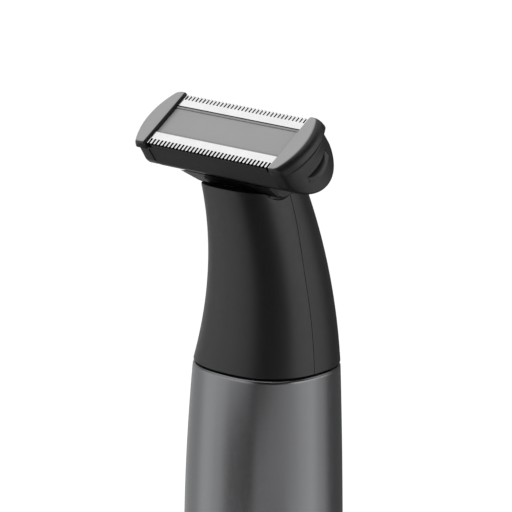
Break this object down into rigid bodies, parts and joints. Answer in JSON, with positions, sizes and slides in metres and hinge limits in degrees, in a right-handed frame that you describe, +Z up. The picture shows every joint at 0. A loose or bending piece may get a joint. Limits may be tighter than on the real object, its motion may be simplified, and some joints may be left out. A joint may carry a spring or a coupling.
{
  "type": "body groomer",
  "caption": "Handheld body groomer: tall tapered handle with a smooth sleeve, a black neck and a tilting T-shaped head with two toothed combs between round-sided end caps.",
  "frame": {"origin": "centre of the flat base face", "axes": "+Z up the handle towards the head; +X along the head towards its right end cap; -Y is the front, where the power button is and where the head leans"},
  "size_m": [0.046, 0.0319, 0.1631],
  "materials": {
    "sleeve": "metallic satin",
    "black_shell": "satin",
    "black_inner": "matte",
    "rubber": "matte",
    "blade_steel": "fine ground",
    "steel": "polished",
    "nickel": "nickel plated",
    "plate": "satin grey",
    "acetal": "natural white",
    "board": "solder-resist green",
    "cell": "shrink-wrap blue",
    "lamp": "milky clear"
  },
  "bodies": {
    "handle": {"body_sleeve": "sleeve", "neck_collar": "rubber", "base_cap": "black_shell", "base_seal": "rubber", "base_screw_left": "nickel", "base_screw_right": "nickel", "neck_front_shell": "black_shell", "neck_rear_shell": "black_shell", "pivot_bracket": "nickel", "bracket_screw_left": "nickel", "bracket_screw_right": "nickel", "pivot_axle_left": "steel", "pivot_axle_right": "steel", "return_spring_left": "steel", "return_spring_right": "steel", "neck_boot": "rubber", "chassis": "black_inner", "battery_cell": "cell", "battery_tab_top": "nickel", "battery_tab_bottom": "nickel", "circuit_board": "board", "control_chip": "black_inner", "charge_port_shell": "nickel", "charge_port_tongue": "black_inner", "switch_body": "black_inner", "status_light": "acetal", "light_window": "lamp", "motor_can": "nickel", "motor_end_cap": "acetal", "motor_screw_left": "nickel", "motor_screw_right": "nickel", "lever_pivot_pin": "steel"},
    "rotor": {"motor_shaft": "steel", "eccentric_cam": "acetal"},
    "lever": {"drive_lever": "acetal", "drive_finger": "steel"},
    "head": {"head_carrier": "black_shell"},
    "cartridge": {"head_housing": "black_shell", "left_end_cap": "black_shell", "right_end_cap": "black_shell", "front_comb": "blade_steel", "rear_comb": "blade_steel", "centre_plate": "plate", "cutter_spring_left": "steel", "cutter_spring_right": "steel"},
    "cutter": {"cutter_frame": "black_inner", "front_cutter": "blade_steel", "rear_cutter": "blade_steel"},
    "button": {"power_button": "rubber"}
  },
  "joints": [
    {"name": "head_pivot", "type": "hinge", "parent": "handle", "child": "head", "pos_m": [0, -0.00653, 0.14978], "axis": [1, 0, 0], "range_deg": [-20, 7], "stiffness_Nm_per_rad": 0.03},
    {"name": "cartridge_release", "type": "slide", "parent": "head", "child": "cartridge", "axis": [0, -0.5577, 0.83], "range_m": [0, 0.008]},
    {"name": "cutter_slide", "type": "slide", "parent": "cartridge", "child": "cutter", "axis": [1, 0, 0], "range_m": [-0.0008, 0.0008]},
    {"name": "lever_rock", "type": "hinge", "parent": "handle", "child": "lever", "pos_m": [0, 0, 0.122], "axis": [0, 1, 0], "range_deg": [-1.65, 1.65]},
    {"name": "motor_spin", "type": "hinge", "parent": "handle", "child": "rotor", "pos_m": [0, 0, 0.1], "axis": [0, 0, 1], "continuous": true},
    {"name": "button_press", "type": "slide", "parent": "handle", "child": "button", "axis": [0, 1, 0], "range_m": [0, 0.0005], "stiffness_N_per_m": 500}
  ],
  "couplings": [
    {"joint": "cutter_slide", "follows": "lever_rock", "m_per_rad": 0.02778}
  ]
}
